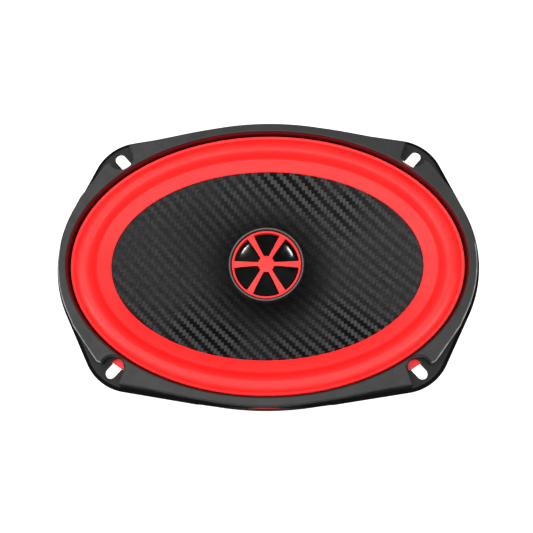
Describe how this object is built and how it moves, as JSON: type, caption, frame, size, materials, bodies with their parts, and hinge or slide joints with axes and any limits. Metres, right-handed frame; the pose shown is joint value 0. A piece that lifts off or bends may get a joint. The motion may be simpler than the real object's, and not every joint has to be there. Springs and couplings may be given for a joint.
{
  "type": "coaxial car speaker",
  "caption": "Oval two-way coaxial car speaker: eared mounting ring, steel basket, rubber surround, woven-look cone on a sprung slide, tweeter on a central post, booted ferrite motor.",
  "frame": {"origin": "centre of the oval on the rear mounting plane, which is the rear face of the foam gasket", "axes": "+X along the speaker's length, +Y across it towards the terminal board, +Z out of the front along the cone's axis"},
  "size_m": [0.235, 0.1626, 0.0917],
  "materials": {
    "ring_plastic": "satin",
    "gasket_foam": "matte",
    "basket_paint": "gloss",
    "surround_rubber": "satin",
    "cone_fibre": "satin",
    "former_film": "satin",
    "copper_wire": "gloss",
    "spider_cloth": "matte",
    "plated_steel": "satin",
    "ferrite": "matte",
    "boot_rubber": "matte",
    "post_metal": "satin",
    "housing_plastic": "satin",
    "neodymium": "gloss",
    "dome_film": "gloss",
    "guard_plastic": "satin",
    "bezel_paint": "satin",
    "board_fibre": "matte",
    "blade_plating": "gloss",
    "tinned_blade": "gloss",
    "capacitor_sleeve": "gloss",
    "tinned_wire": "gloss",
    "tinsel_braid": "satin",
    "wire_jacket": "matte"
  },
  "bodies": {
    "frame": {"mounting_ring": "ring_plastic", "mounting_gasket": "gasket_foam", "basket": "basket_paint", "surround": "surround_rubber", "spider": "spider_cloth", "front_plate": "plated_steel", "ring_magnet": "ferrite", "back_plate": "plated_steel", "magnet_boot": "boot_rubber", "motor_rivets": "plated_steel", "tweeter_post": "post_metal", "post_washer": "plated_steel", "post_nut": "plated_steel", "tweeter_housing": "housing_plastic", "tweeter_yoke": "plated_steel", "tweeter_magnet": "neodymium", "tweeter_pole_plate": "plated_steel", "tweeter_guard": "guard_plastic", "tweeter_bezel": "bezel_paint", "terminal_board": "board_fibre", "positive_terminal": "blade_plating", "negative_terminal": "tinned_blade", "terminal_rivets": "plated_steel", "crossover_capacitor": "capacitor_sleeve", "capacitor_clip": "plated_steel", "capacitor_leads": "tinned_wire", "tinsel_leads": "tinsel_braid", "tweeter_wires": "wire_jacket"},
    "cone_assembly": {"cone": "cone_fibre", "coil_former": "former_film", "voice_coil": "copper_wire"},
    "tweeter_dome": {"tweeter_diaphragm": "dome_film", "tweeter_coil": "copper_wire"}
  },
  "joints": [
    {"name": "cone_travel", "type": "slide", "parent": "frame", "child": "cone_assembly", "axis": [0, 0, 1], "range_m": [-0.004, 0.004], "stiffness_N_per_m": 2500, "deforming": ["surround", "spider", "tinsel_leads"]},
    {"name": "tweeter_travel", "type": "slide", "parent": "frame", "child": "tweeter_dome", "axis": [0, 0, 1], "range_m": [-0.0003, 0.0003], "stiffness_N_per_m": 400}
  ]
}
